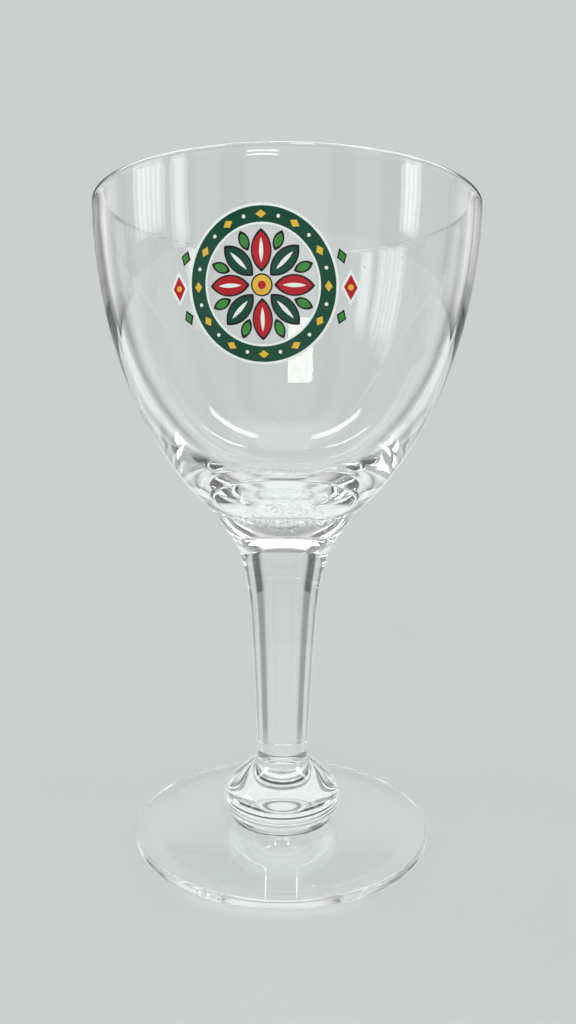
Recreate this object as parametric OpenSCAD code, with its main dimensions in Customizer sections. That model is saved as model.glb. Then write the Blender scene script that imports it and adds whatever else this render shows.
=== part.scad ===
// Stemmed beer chalice: a blown bowl, a pressed stem with a flared head and a pressed foot with a
// round boss, welded one above the other. A fired enamel print of six inks is on the front of the
// bowl and a torn paper label is stuck on the back.
// Millimetres. The origin is the centre of the resting face, +Z is up and the print faces -Y.

/* [Bowl] */
// Height of the bowl from its weld to the rim
bowl_h = 75.6; // [60:0.1:95]
// Outer radius at the mouth
mouth_r = 47.4; // [42:0.1:56]
// How far below the weld the bowl's outer curve would close to a tip
tip_drop = 8.5; // [6:0.1:12]
// Wall thickness at the rim
wall = 2.8; // [1.6:0.1:3.6]
// Thickness of the solid glass under the middle of the bowl's floor
floor_t = 5.1; // [4:0.1:8]

/* [Stem] */
// Length of the stem from the weld with the foot to the corner under its head
stem_l = 55.1; // [35:0.1:80]
// Radius of the stem where it is welded to the foot
stem_r = 6.55; // [5.5:0.05:7.5]
// Radius of the corner between the stem and its head
corner_r = 12.9; // [11.5:0.1:15]
// Radius that the stem gains by its even taper alone
taper_gain = 2.6; // [1:0.1:3.5]
// Length over which the flare at the top of the stem dies away
flare_l = 8.1; // [5:0.1:12]
// Height of the conical head that spreads to the bowl
head_h = 7.3; // [5:0.1:11]

/* [Foot] */
// Outer radius of the foot
foot_r = 38.3; // [34:0.1:46]
// Thickness of the foot at its edge
edge_t = 2.35; // [1.8:0.05:3.2]
// Radius of the two rounded corners at the edge
edge_round = 0.6; // [0.3:0.05:0.8]
// Radius inside which the underside is hollow and clears the table
rest_r = 33; // [28:0.1:33.2]
// Depth of the hollow under the middle of the foot
hollow_h = 1.3; // [0.5:0.05:2]
// Height of the plate's top where it meets the boss
plate_h = 4.1; // [3.4:0.05:5.5]

/* [Boss] */
// Largest radius of the boss
boss_r = 15.2; // [13:0.1:18]
// How far the boss draws in below its widest place
undercut = 2.2; // [1:0.1:3]
// Height over which it draws in
undercut_h = 4.4; // [3.2:0.05:6]
// How far its side stays nearly upright below its widest place
flank_h = 2.5; // [1:0.1:3]
// Width of the hollow blend between the boss and the plate
blend_w = 0.6; // [0.3:0.05:1.2]
// Height of that blend
blend_h = 0.5; // [0.3:0.05:1]
// Height of the dome from the boss's widest place to the neck
dome_h = 10.35; // [8:0.05:15]
// How far the dome's side stays nearly upright above its widest place
shoulder_h = 3.9; // [2:0.1:6]
// Sideways run of the dome's slope under the neck
crown_w = 3.5; // [1.5:0.1:4.5]
// Drop of that slope
crown_h = 2.6; // [1:0.1:4]
// Length of the neck from the dome to the weld with the stem
neck_l = 2.65; // [2:0.01:6]
// How far up the neck its blend with the dome runs
neck_round = 0.5; // [0.3:0.1:1.5]

/* [Print] */
// Distance from the rim down to the print's middle
print_drop = 26.5; // [22:0.1:32]
// Turn of the print away from the front, in degrees
print_turn = -6; // [-20:1:20]
// Thickness of the fired enamel
enamel_t = 0.15; // [0.05:0.01:0.4]
// Width of the black outlines
line_w = 0.3; // [0.2:0.05:0.4]
// Outer radius of the ring
ring_r = 15; // [14.5:0.1:16]
// Width of the ring's outer white edge
ring_edge = 0.5; // [0.3:0.05:0.8]
// Width of the ring's dark green band
band_w = 3; // [2.4:0.1:3.2]
// Width of the ring's inner white edge
inner_edge = 0.4; // [0.2:0.05:0.5]
// Bare glass between the eye and the petals
petal_gap = 0.25; // [0.1:0.05:0.5]
// Bare glass between the petals and the ring
reach_gap = 0.7; // [0.4:0.1:1.2]
// Width of a petal
petal_w = 4.1; // [3:0.1:4.2]
// Length of the white vein in a petal
vein_l = 4.6; // [3:0.1:5]
// Width of that vein
vein_w = 0.8; // [0.4:0.05:1.2]
// Bare glass between the small leaves and the ring
leaf_gap = 0.3; // [0.2:0.05:0.6]
// Length of a small leaf
leaf_l = 4; // [2.6:0.1:4.2]
// Width of a small leaf
leaf_w = 2.1; // [1.6:0.1:2.2]
// Radius of the gold eye in the middle
eye_r = 1.85; // [1.4:0.05:2]
// Radius of the red dot in the eye
dot_r = 0.8; // [0.4:0.05:1]

/* [Side ornaments] */
// Bare glass between the ring and the side lozenges
side_gap = 0.4; // [0.2:0.05:0.8]
// Width of a side lozenge
side_w = 3.8; // [3:0.1:4]
// Height of a side lozenge
side_h = 6.8; // [5:0.1:7]
// Width of its white border
border_w = 0.55; // [0.4:0.05:0.7]
// Turn of a small lozenge around the ring from the level line, in degrees
small_turn = 20; // [19:0.5:26]
// Bare glass between the ring and the small lozenges
small_gap = 0.5; // [0.2:0.05:0.8]
// Width of a small lozenge
small_w = 2; // [1.6:0.1:2.2]
// Height of a small lozenge
small_h = 3; // [2.4:0.1:3.2]

/* [Label] */
// Width of the paper label
label_w = 8.2; // [5:0.1:12]
// Height of the paper label
label_h = 21.9; // [12:0.1:24]
// Thickness of the paper
label_t = 0.12; // [0.08:0.01:0.3]
// Distance from the rim down to the label's upper edge
label_drop = 20.4; // [16:0.1:30]
// Distance from the middle of the back to the label's straight edge
label_x = 0.5; // [-6:0.1:8]

/* [Hidden] */

// Powers of the bowl's outer and inner curves
belly_power = 1.7;
hollow_power = 2.2;

// Share of the dome's slope that the blend with the neck takes up
blend_share = 0.2;

// How far a cut or an extrusion runs past what it works on
overrun = 1;

// Number of steps along each curve
bowl_steps = 34;
inner_steps = 26;
rim_steps = 10;
stem_steps = 22;
dome_steps = 18;
round_steps = 6;
hollow_steps = 10;

// Ornaments of the ring and of the flower
ring_count = 12;
petal_count = 8;
lozenge_l = 2.1;
lozenge_w = 1.5;
pearl_r = 0.35;
side_dot_r = 0.55;

// How much shorter the coloured part of a petal or leaf is than its black outline, in line widths
tip_share = 4;

// Places along the label's torn edge, as shares of its width and height, from the foot up
torn_shares = [[0.86, 0], [0.97, 0.05], [0.95, 0.14], [1, 0.2], [0.97, 0.27], [0.99, 0.33],
               [0.94, 0.42], [0.97, 0.52], [0.9, 0.61], [0.95, 0.7], [0.88, 0.79], [0.92, 0.88],
               [0.84, 0.95], [0.86, 1]];

$fn = 96;

// Heights of the boss's waist, widest place and top, of the weld between foot and stem, of the
// corner under the stem's head, of the weld between stem and bowl and of the rim
waist_z = plate_h + blend_h;
boss_z = waist_z + undercut_h;
dome_top = boss_z + dome_h;
foot_h = dome_top + neck_l;
corner_z = foot_h + stem_l;
seam_z = corner_z + head_h;
total_h = seam_z + bowl_h;

// Depths from the rim to where the bowl's outer and inner curves close, and the inner mouth
outer_depth = bowl_h + tip_drop;
inner_depth = bowl_h - floor_t;
inner_r = mouth_r - wall;

// Radii of the boss's waist and of where its blend meets the plate
waist_r = boss_r - undercut;
blend_r = waist_r + blend_w;

// Heights of the print's middle and of the label's lower edge
print_z = total_h - print_drop;
label_z = total_h - label_drop - label_h;

// Radii of the printed ring's edges, from the outside in
band_out_r = ring_r - ring_edge;
band_in_r = band_out_r - band_w;
ring_in_r = band_in_r - inner_edge;
band_mid_r = (band_out_r + band_in_r) / 2;

// Length of a petal, from the eye to the ring, and the places of the other motifs
petal_start = eye_r + line_w + petal_gap;
petal_l = ring_in_r - reach_gap - petal_start;
petal_at = petal_start + petal_l / 2;
leaf_at = ring_in_r - leaf_gap - leaf_l / 2;
side_at = ring_r + side_gap + side_w / 2;
small_at = ring_r + small_gap + small_w / 2;

// Outer radius of the bowl at a height
function bowl_r(z) = mouth_r * pow(1 - pow((total_h - z) / outer_depth, 2), 1 / belly_power);

// Radius of the stem at a height: an even taper and a flare that dies away downwards
function stem_radius(z) =
    let (start = exp(-stem_l / flare_l), flare = (exp((z - corner_z) / flare_l) - start) / (1 - start))
    stem_r + taper_gain * (z - foot_h) / stem_l + (corner_r - stem_r - taper_gain) * flare;

// Height of the hollow underside at a radius
function hollow_z(r) = hollow_h * (1 - pow(r / rest_r, 2));

// Quarter of an ellipse from one point to another, leaving the first along the second axis
function quarter(from, to, steps) =
    [for (i = [1:steps]) let (a = 90 * i / steps)
        [from[0] + (to[0] - from[0]) * (1 - cos(a)), from[1] + (to[1] - from[1]) * sin(a)]];

// The same, leaving the first point along the first axis
function quarter_flat(from, to, steps) =
    [for (i = [1:steps]) let (a = 90 * i / steps)
        [from[0] + (to[0] - from[0]) * sin(a), from[1] + (to[1] - from[1]) * (1 - cos(a))]];

// Curve from one point to another that is drawn towards a third
function drawn(from, by, to, steps) =
    [for (i = [1:steps]) let (t = i / steps)
        from * pow(1 - t, 2) + by * 2 * t * (1 - t) + to * pow(t, 2)];

// Curve from one point to another that is drawn towards two others in turn
function drawn_twice(from, by, past, to, steps) =
    [for (i = [1:steps]) let (t = i / steps)
        from * pow(1 - t, 3) + by * 3 * t * pow(1 - t, 2)
        + past * 3 * pow(t, 2) * (1 - t) + to * pow(t, 3)];

// Outer curve of the bowl from the weld up to where the rim's round begins
rim_start = total_h - wall / 2;
bowl_curve = [for (i = [0:bowl_steps])
    let (z = seam_z + (rim_start - seam_z) * i / bowl_steps) [bowl_r(z), z]];

// Inner curve of the bowl from where the rim's round ends down to the middle of the floor
rim_angle = acos((wall / 2) / inner_depth);
inner_curve = [for (i = [inner_steps:-1:0])
    let (a = rim_angle * i / inner_steps)
        [inner_r * pow(sin(a), 2 / hollow_power), total_h - inner_depth * cos(a)]];

// Fire-polished round of the rim, between the ends of the two curves
rim_out_r = bowl_curve[bowl_steps][0];
rim_in_r = inner_curve[0][0];
rim_curve = [for (i = [1:rim_steps - 1])
    let (a = 180 * i / rim_steps)
        [(rim_out_r + rim_in_r) / 2 + (rim_out_r - rim_in_r) / 2 * cos(a),
         rim_start + (total_h - rim_start) * sin(a)]];

// Solid glass turned about the upright axis from a half outline
module turned(points) {
    rotate_extrude() polygon(points);
}

module bowl() {
    color("lightcyan", 0.4)
    turned(concat([[0, seam_z]], bowl_curve, rim_curve, inner_curve));
}

module stem() {
    shaft = [for (i = [0:stem_steps])
        let (z = foot_h + stem_l * i / stem_steps) [stem_radius(z), z]];
    color("powderblue", 0.5)
    turned(concat([[0, foot_h]], shaft, [[bowl_r(seam_z), seam_z], [0, seam_z]]));
}

module foot() {
    underside = [for (i = [0:hollow_steps])
        let (r = rest_r * i / hollow_steps) [r, hollow_z(r)]];
    // Corners of the edge's square outline, between which it is rounded
    edge_low = [foot_r - edge_round, 0];
    edge_side = [foot_r, edge_round];
    edge_high = [foot_r, edge_t - edge_round];
    edge_top = [foot_r - edge_round, edge_t];
    // Places that the boss's outline passes or is drawn towards, from the plate up to the neck
    plate_in = [blend_r, plate_h];
    waist = [waist_r, waist_z];
    flank = [boss_r, boss_z - flank_h];
    widest = [boss_r, boss_z];
    shoulder = [boss_r, boss_z + shoulder_h];
    neck_foot = [stem_r, dome_top];
    crown = neck_foot + [crown_w, -crown_h];
    dome_end = neck_foot + [crown_w, -crown_h] * blend_share;
    neck_low = [stem_r, dome_top + neck_round];
    color("lightblue", 0.4)
    turned(concat(
        underside,
        [edge_low],
        quarter_flat(edge_low, edge_side, round_steps),
        [edge_high],
        quarter(edge_high, edge_top, round_steps),
        [plate_in],
        quarter_flat(plate_in, waist, round_steps),
        drawn(waist, flank, widest, dome_steps),
        drawn_twice(widest, shoulder, crown, dome_end, dome_steps),
        drawn(dome_end, neck_foot, neck_low, round_steps),
        [[stem_r, foot_h], [0, foot_h]]));
}

// Skin of a thickness on the part of the bowl's outside between two heights
module skin(low, high, thick) {
    pitch = (rim_start - seam_z) / bowl_steps;
    band = [for (p = bowl_curve) if (p[1] > low - pitch && p[1] < high + pitch) p];
    last = len(band) - 1;
    turned(concat(band, [for (i = [last:-1:0]) [band[i][0] + thick, band[i][1]]]));
}

// A flat motif laid on the front of the bowl as a thin fired layer
module fired() {
    intersection() {
        skin(print_z - ring_r, print_z + ring_r, enamel_t);
        rotate([0, 0, print_turn])
        translate([0, 0, print_z])
        rotate([90, 0, 0])
        linear_extrude(height = mouth_r + overrun) children();
    }
}

// Pointed leaf between two arcs, its length along Y
module pointed(l, w) {
    r = (l * l + w * w) / (4 * w);
    intersection() {
        translate([r - w / 2, 0]) circle(r);
        translate([w / 2 - r, 0]) circle(r);
    }
}

// Lozenge of a width and a height
module lozenge(w, h) {
    polygon([[w / 2, 0], [0, h / 2], [-w / 2, 0], [0, -h / 2]]);
}

// Ring between two radii
module ring(r_out, r_in) {
    difference() {
        circle(r_out);
        circle(r_in);
    }
}

// Copies of a motif turned about the middle, from a first place in steps
module around(at, count, first = 0, step = 1) {
    for (i = [first:step:count - 1]) rotate(360 * i / count) translate([0, at]) children();
}

// Copies of a motif at the left and the right of the ring
module both_sides(at) {
    for (x = [-at, at]) translate([x, 0]) children();
}

// Copies of a motif at the four small lozenges
module four_corners() {
    for (turn = [small_turn, -small_turn, 180 - small_turn, 180 + small_turn])
        rotate(turn) translate([small_at, 0]) children();
}

// Coloured part of a pointed leaf inside its black outline
module leaf_fill(l, w) {
    pointed(l - tip_share * line_w, w - 2 * line_w);
}

// Black outline of a pointed leaf
module leaf_line(l, w) {
    difference() {
        pointed(l, w);
        leaf_fill(l, w);
    }
}

// Coloured part of a petal, with its vein left out
module petal_fill() {
    difference() {
        leaf_fill(petal_l, petal_w);
        pointed(vein_l, vein_w);
    }
}

// Red or green field of a side lozenge inside its white border
module side_field() {
    lozenge(side_w - 2 * border_w, side_h - 2 * border_w * side_h / side_w);
}

// Coloured part of a small lozenge inside its black outline
module small_field() {
    lozenge(small_w - 2 * line_w, small_h - 2 * line_w * small_h / small_w);
}

module enamel_white() {
    color("white")
    fired() {
        ring(ring_r, band_out_r);
        ring(band_in_r, ring_in_r);
        around(petal_at, petal_count) pointed(vein_l, vein_w);
        rotate(180 / ring_count) around(band_mid_r, ring_count) circle(pearl_r);
        both_sides(side_at) difference() {
            lozenge(side_w, side_h);
            side_field();
        }
    }
}

module enamel_black() {
    color("black")
    fired() {
        around(petal_at, petal_count) leaf_line(petal_l, petal_w);
        rotate(180 / petal_count) around(leaf_at, petal_count) leaf_line(leaf_l, leaf_w);
        ring(eye_r + line_w, eye_r);
        four_corners() difference() {
            lozenge(small_w, small_h);
            small_field();
        }
    }
}

module enamel_red() {
    color("firebrick")
    fired() {
        around(petal_at, petal_count, 0, 2) petal_fill();
        circle(dot_r);
        both_sides(side_at) difference() {
            side_field();
            circle(side_dot_r);
        }
    }
}

module enamel_dark_green() {
    color("darkslategray")
    fired() {
        difference() {
            ring(band_out_r, band_in_r);
            around(band_mid_r, ring_count) lozenge(lozenge_l, lozenge_w);
            rotate(180 / ring_count) around(band_mid_r, ring_count) circle(pearl_r);
        }
        around(petal_at, petal_count, 1, 2) petal_fill();
    }
}

module enamel_leaf_green() {
    color("forestgreen")
    fired() {
        rotate(180 / petal_count) around(leaf_at, petal_count) leaf_fill(leaf_l, leaf_w);
        four_corners() small_field();
    }
}

module enamel_gold() {
    color("goldenrod")
    fired() {
        around(band_mid_r, ring_count) lozenge(lozenge_l, lozenge_w);
        ring(eye_r, dot_r);
        both_sides(side_at) circle(side_dot_r);
    }
}

module paper_label() {
    torn = [for (p = torn_shares) [label_x + label_w * p[0], label_z + label_h * p[1]]];
    color("whitesmoke")
    intersection() {
        skin(label_z, label_z + label_h, label_t);
        rotate([90, 0, 0])
        translate([0, 0, -mouth_r - overrun])
        linear_extrude(height = mouth_r + overrun)
        polygon(concat([[label_x, label_z + label_h], [label_x, label_z]], torn));
    }
}

bowl();
stem();
foot();
enamel_white();
enamel_black();
enamel_red();
enamel_dark_green();
enamel_leaf_green();
enamel_gold();
paper_label();
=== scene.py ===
# Looks of a stemmed beer chalice: clear glass, a fired print of six inks and a torn paper label.
# Lengths are metres in the part's own frame: +Z is up, the print faces -Y, the foot rests at z = 0.
import math
import random

import bmesh
import bpy
from mathutils import Matrix, Vector


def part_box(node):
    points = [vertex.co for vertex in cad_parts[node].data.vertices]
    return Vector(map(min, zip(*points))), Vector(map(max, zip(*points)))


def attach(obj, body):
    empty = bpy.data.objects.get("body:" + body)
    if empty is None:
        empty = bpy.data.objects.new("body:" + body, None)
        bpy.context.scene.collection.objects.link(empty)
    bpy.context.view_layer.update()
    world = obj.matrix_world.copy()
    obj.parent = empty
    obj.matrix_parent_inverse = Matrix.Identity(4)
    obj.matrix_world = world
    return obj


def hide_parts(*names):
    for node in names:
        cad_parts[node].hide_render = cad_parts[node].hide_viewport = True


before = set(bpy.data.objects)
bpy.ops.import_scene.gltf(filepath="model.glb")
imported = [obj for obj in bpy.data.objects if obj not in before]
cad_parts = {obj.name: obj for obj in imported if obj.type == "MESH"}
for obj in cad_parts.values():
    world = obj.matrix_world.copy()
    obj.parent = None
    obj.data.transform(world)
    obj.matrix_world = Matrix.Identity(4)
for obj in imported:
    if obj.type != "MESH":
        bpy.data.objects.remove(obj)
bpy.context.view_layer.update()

MM = 0.001
MERGE_GAP = MM / 1000
SHARP_ANGLE = math.radians(35)

# Heights that the construction gives: the two welds and the rim
NECK_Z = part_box("foot")[1].z
SEAM_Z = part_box("stem")[1].z
RIM_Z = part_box("bowl")[1].z

# Bowl
MOUTH_R = 47.4 * MM
WALL = 2.8 * MM
FLOOR_T = 5.1 * MM
TIP_DROP = 8.5 * MM
BELLY_POWER = 1.7
HOLLOW_POWER = 2.2
OUTER_DEPTH = RIM_Z - SEAM_Z + TIP_DROP
INNER_DEPTH = RIM_Z - SEAM_Z - FLOOR_T
INNER_R = MOUTH_R - WALL

# Stem
STEM_R = 6.55 * MM
CORNER_R = 12.9 * MM
TAPER_GAIN = 2.6 * MM
FLARE_L = 8.1 * MM
HEAD_H = 7.3 * MM
CORNER_Z = SEAM_Z - HEAD_H
CORNER_ROUND = 0.45 * MM

# Foot and boss
FOOT_R = 38.3 * MM
EDGE_T = 2.35 * MM
EDGE_ROUND = 0.6 * MM
REST_R = 33 * MM
HOLLOW_H = 1.3 * MM
PLATE_H = 4.1 * MM
BOSS_R = 15.2 * MM
UNDERCUT = 2.2 * MM
UNDERCUT_H = 4.4 * MM
FLANK_H = 2.5 * MM
BLEND_W = 0.6 * MM
BLEND_H = 0.5 * MM
SHOULDER_H = 3.9 * MM
CROWN_W = 3.5 * MM
CROWN_H = 2.6 * MM
NECK_L = 2.65 * MM
NECK_ROUND = 0.5 * MM
BLEND_SHARE = 0.2

# Soft crease that the torch leaves where two pieces are welded, and how far in it starts on the bowl
CREASE = 0.28 * MM
CREASE_IN = CREASE / 3

# Steps round the axis and along the curves of the outlines
SEGMENTS = 240
WALL_STEPS = 130
RIM_STEPS = 24
STEM_STEPS = 110
HEAD_STEPS = 16
PLATE_STEPS = 30
FLANK_STEPS = 24
BOSS_STEPS = 48
NECK_STEPS = 12
ROUND_STEPS = 8
SHORT_STEPS = 6
EDGE_STEPS = 4
CREASE_STEPS = 4

# Glass and the bubbles in it. A bubble's index is given against the glass round it, and its tint is painted
# shade, which greys the bubble so that it reads as a dark dot
SODA_TINT = (0.985, 0.997, 0.991)
SODA_INDEX = 1.52
BUBBLE_PAINTED_SHADE = (0.8, 0.83, 0.82)
GAS_INDEX = 0.66

# Bubbles: the most in a square metre, their height against their width, and the smallest one
# against the largest
BUBBLE_DENSITY = 2.5e6
BUBBLE_FLAT = 0.9
BUBBLE_LEAST = 0.4

# Print: its place on the bowl, and its parts from the ring inwards and then at the sides
PRINT_Z = RIM_Z - 26.5 * MM
PRINT_TURN = math.radians(-6)
ENAMEL_T = 0.15 * MM
ENAMEL_SUNK = 0.03 * MM
LINE_W = 0.3 * MM
RING_R = 15 * MM
RING_EDGE = 0.5 * MM
BAND_W = 3 * MM
INNER_EDGE = 0.4 * MM
PETAL_GAP = 0.25 * MM
REACH_GAP = 0.7 * MM
PETAL_W = 4.1 * MM
VEIN_L = 4.6 * MM
VEIN_W = 0.8 * MM
LEAF_GAP = 0.3 * MM
LEAF_L = 4 * MM
LEAF_W = 2.1 * MM
EYE_R = 1.85 * MM
DOT_R = 0.8 * MM
SIDE_GAP = 0.4 * MM
SIDE_W = 3.8 * MM
SIDE_H = 6.8 * MM
BORDER_W = 0.55 * MM
SMALL_TURN = math.radians(20)
SMALL_GAP = 0.5 * MM
SMALL_W = 2 * MM
SMALL_H = 3 * MM
LOZENGE_L = 2.1 * MM
LOZENGE_W = 1.5 * MM
PEARL_R = 0.35 * MM
SIDE_DOT_R = 0.55 * MM
RING_COUNT = 12
PETAL_COUNT = 8
CHORD = 0.32 * MM
LEAST_CHORDS = 20

# Label: its sheet and place, the grid that makes it, the fray and lift of its torn edge, and the way
# of the tear as (share of the width, share of the height)
LABEL_W = 8.2 * MM
LABEL_H = 21.9 * MM
LABEL_T = 0.12 * MM
GLUE_T = 0.02 * MM
LABEL_TOP = RIM_Z - 20.4 * MM
LABEL_X = 0.5 * MM
LABEL_ROWS = 90
LABEL_COLUMNS = 20
FRAY = 0.09 * MM
FRAY_SEED = 7
LIFT = 0.16 * MM
LIFT_POWER = 6
LIFT_WAVE = 9
TORN_SHARES = [(0.86, 0), (0.97, 0.05), (0.95, 0.14), (1, 0.2), (0.97, 0.27), (0.99, 0.33), (0.94, 0.42),
               (0.97, 0.52), (0.9, 0.61), (0.95, 0.7), (0.88, 0.79), (0.92, 0.88), (0.84, 0.95), (0.86, 1)]

# Studio: its tone, and its fill light, which is stronger from the front and through glass
PALE = (0.60, 0.625, 0.615)
FILL = 0.45
FRONT_GAIN = 3.0
THROUGH_GAIN = 0.35
DAYLIGHT = (0.92, 0.97, 1.0)

# Floor, which glows more and more from one distance to another and so runs out into the world
FLOOR_HALF = 6.0
FLOOR_DROP = 0.2 * MM
FLOOR_GLOW = 0.35
GLOW_NEAR = 0.16
GLOW_FAR = 0.9

# Dark bands for the glass: their way and half width in degrees, how dark they are, and where they fade
# on the floor (a distance) and in the room (the sine of the height angle)
BAND_WAY = 15.0
BAND_HALF = 10.0
BAND_CORE = 0.3 * BAND_HALF
FLOOR_BAND = 0.55
FLOOR_BAND_FADE = (1.5 * FOOT_R, 2.5 * FOOT_R)
ROOM_BAND = 0.9
ROOM_BAND_FADE = (0.5, 0.75)

# Dark ceiling for the glass, and how much darker the room and brighter the table are when mirrored
CEILING_DARK = 0.85
CEILING_FADE = (0.45, 0.75)
MIRROR_DARK = 0.3
TABLE_GLOW = 0.4

# Lamps: the height of those that hang under the ceiling, and the way to each side
TUBE_Z = 1.1
SIDES = (("left", -1), ("right", 1))

# Camera: its lens in millimetres, place, downward tilt in degrees and slight roll in radians
LENS = 27.633
CAMERA_PLACE = (0.00089, -0.20225, 0.10353)
CAMERA_DIP = 5.3553
CAMERA_ROLL = 0.009382

# Turns that light may take inside the glass, and clear layers that it may cross
GLASS_BOUNCES = 64
CLEAR_LAYERS = 32


def link(thing):
    """Puts an object in the scene."""
    bpy.context.scene.collection.objects.link(thing)
    return thing


# Node helpers


def add(tree, kind, inputs=None, **settings):
    """Adds a node with its settings. Its inputs are given as plain values or as sockets."""
    node = tree.nodes.new(kind)
    for key, value in settings.items():
        setattr(node, key, value)
    for key, value in (inputs or {}).items():
        if isinstance(value, bpy.types.NodeSocket):
            tree.links.new(value, node.inputs[key])
        else:
            node.inputs[key].default_value = value
    return node


def calc(tree, operation, first, second=None, third=None):
    """Adds a Math node and gives its result."""
    values = {i: v for i, v in enumerate((first, second, third)) if v is not None}
    return add(tree, "ShaderNodeMath", values, operation=operation).outputs[0]


def ranged(tree, value, low, high, to_low, to_high, curve="LINEAR"):
    """Adds a Map Range node that clamps, and gives its result."""
    return add(tree, "ShaderNodeMapRange", {0: value, 1: low, 2: high, 3: to_low, 4: to_high},
               interpolation_type=curve).outputs[0]


def joined_xyz(tree, x, y, z):
    """Adds a Combine XYZ node and gives its vector."""
    return add(tree, "ShaderNodeCombineXYZ", {0: x, 1: y, 2: z}).outputs[0]


def new_tree(name, kind, inputs, outputs):
    """Makes a node group with named inputs, each a (type, default), and named outputs."""
    tree = bpy.data.node_groups.new(name, kind)
    for key, (socket, default) in inputs.items():
        item = tree.interface.new_socket(key, in_out="INPUT", socket_type="NodeSocket" + socket)
        if default is not None:
            item.default_value = default
    for key, socket in outputs.items():
        tree.interface.new_socket(key, in_out="OUTPUT", socket_type="NodeSocket" + socket)
    return tree, tree.nodes.new("NodeGroupInput").outputs, tree.nodes.new("NodeGroupOutput").inputs


def shaped(name, source, tree, values):
    """Runs a geometry tree on a source mesh and gives the result as a plain mesh."""
    rough = link(bpy.data.objects.new(name, source))
    modifier = rough.modifiers.new("shape", "NODES")
    modifier.node_group = tree
    for item in tree.interface.items_tree:
        if item.in_out == "INPUT" and item.name in values:
            modifier[item.identifier] = values[item.name]
    graph = bpy.context.evaluated_depsgraph_get()
    mesh = bpy.data.meshes.new_from_object(rough.evaluated_get(graph), depsgraph=graph)
    bpy.data.objects.remove(rough)
    bpy.data.meshes.remove(source)
    return mesh


def piece(name, meshes, nodes=()):
    """Makes one piece of the object from meshes of one material, which it keeps, puts it on the root body
    and hides the CAD nodes that it stands in for.
    """
    work = bmesh.new()
    for mesh in meshes:
        work.from_mesh(mesh)
    whole = meshes[0].copy()
    whole.name = name
    work.to_mesh(whole)
    work.free()
    whole.set_sharp_from_angle(angle=SHARP_ANGLE)
    made = link(bpy.data.objects.new(name, whole))
    for mesh in meshes:
        bpy.data.meshes.remove(mesh)
    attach(made, "root")
    if nodes:
        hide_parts(*nodes)
    return made


# Surface effects that more than one material uses, with their noises in waves or cells per metre


def smooth_noise(tree, place, scale, detail=2.0, stretch=None):
    """Adds a noise on Object coordinates. Its stretch multiplies the waves along x, y and z."""
    if stretch:
        place = add(tree, "ShaderNodeMapping", {0: place, 3: stretch}).outputs[0]
    return add(tree, "ShaderNodeTexNoise", {"Vector": place, "Scale": scale, "Detail": detail}).outputs[0]


def make_wash_wear():
    """Roughness of used glass: dried specks, hair-fine washing scratches and a faint film."""
    cells, free_cells, speck_r = 260.0, 0.86, 0.11
    hair_waves, hair_stretch, hair_w = 90.0, (1.0, 1.0, 7.0), 0.004
    patch_waves, patch_edge = 60.0, (0.56, 0.66)
    film_waves, film_edge = 35.0, (0.45, 0.75)
    tree, given, out = new_tree(
        "wash_wear", "ShaderNodeTree",
        {"Specks": ("Float", 0.3), "Scratches": ("Float", 0.2), "Film": ("Float", 0.02)},
        {"Roughness": "Float"})
    place = add(tree, "ShaderNodeTexCoord").outputs["Object"]
    cell = add(tree, "ShaderNodeTexVoronoi", {"Vector": place, "Scale": cells})
    spread = add(tree, "ShaderNodeSeparateColor", {0: cell.outputs["Color"]}).outputs
    size = ranged(tree, spread[0], free_cells, 1.0, 0.0, speck_r)
    speck = calc(tree, "LESS_THAN", cell.outputs["Distance"], size)
    hairs = smooth_noise(tree, place, hair_waves, detail=1.0, stretch=hair_stretch)
    ridge = calc(tree, "ABSOLUTE", calc(tree, "SUBTRACT", hairs, 0.5))
    hair = ranged(tree, ridge, 0.0, hair_w, 1.0, 0.0)
    where = ranged(tree, smooth_noise(tree, place, patch_waves), *patch_edge, 0.0, 1.0)
    hair = calc(tree, "MULTIPLY", hair, where)
    film = ranged(tree, smooth_noise(tree, place, film_waves, detail=3.0), *film_edge, 0.0, 1.0)
    rough = calc(tree, "MULTIPLY", speck, given["Specks"])
    rough = calc(tree, "MAXIMUM", rough, calc(tree, "MULTIPLY", hair, given["Scratches"]))
    rough = calc(tree, "ADD", rough, calc(tree, "MULTIPLY", film, given["Film"]))
    tree.links.new(rough, out["Roughness"])
    return tree


def make_hot_waves():
    """Height of the slow waves that hot glass keeps when it cools, in metres."""
    rib_stretch = (0.35, 0.35, 6.0)
    tree, given, out = new_tree(
        "hot_waves", "ShaderNodeTree",
        {"Wave": ("Float", 40.0), "Depth": ("Float", 0.02 * MM), "Ribs": ("Float", 0.0)},
        {"Height": "Float"})
    place = add(tree, "ShaderNodeTexCoord").outputs["Object"]
    slow = smooth_noise(tree, place, given["Wave"], detail=1.0)
    ribs = smooth_noise(tree, place, given["Wave"], detail=0.0, stretch=rib_stretch)
    total = calc(tree, "ADD", slow, calc(tree, "MULTIPLY", ribs, given["Ribs"]))
    tree.links.new(calc(tree, "MULTIPLY", total, given["Depth"]), out["Height"])
    return tree


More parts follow.
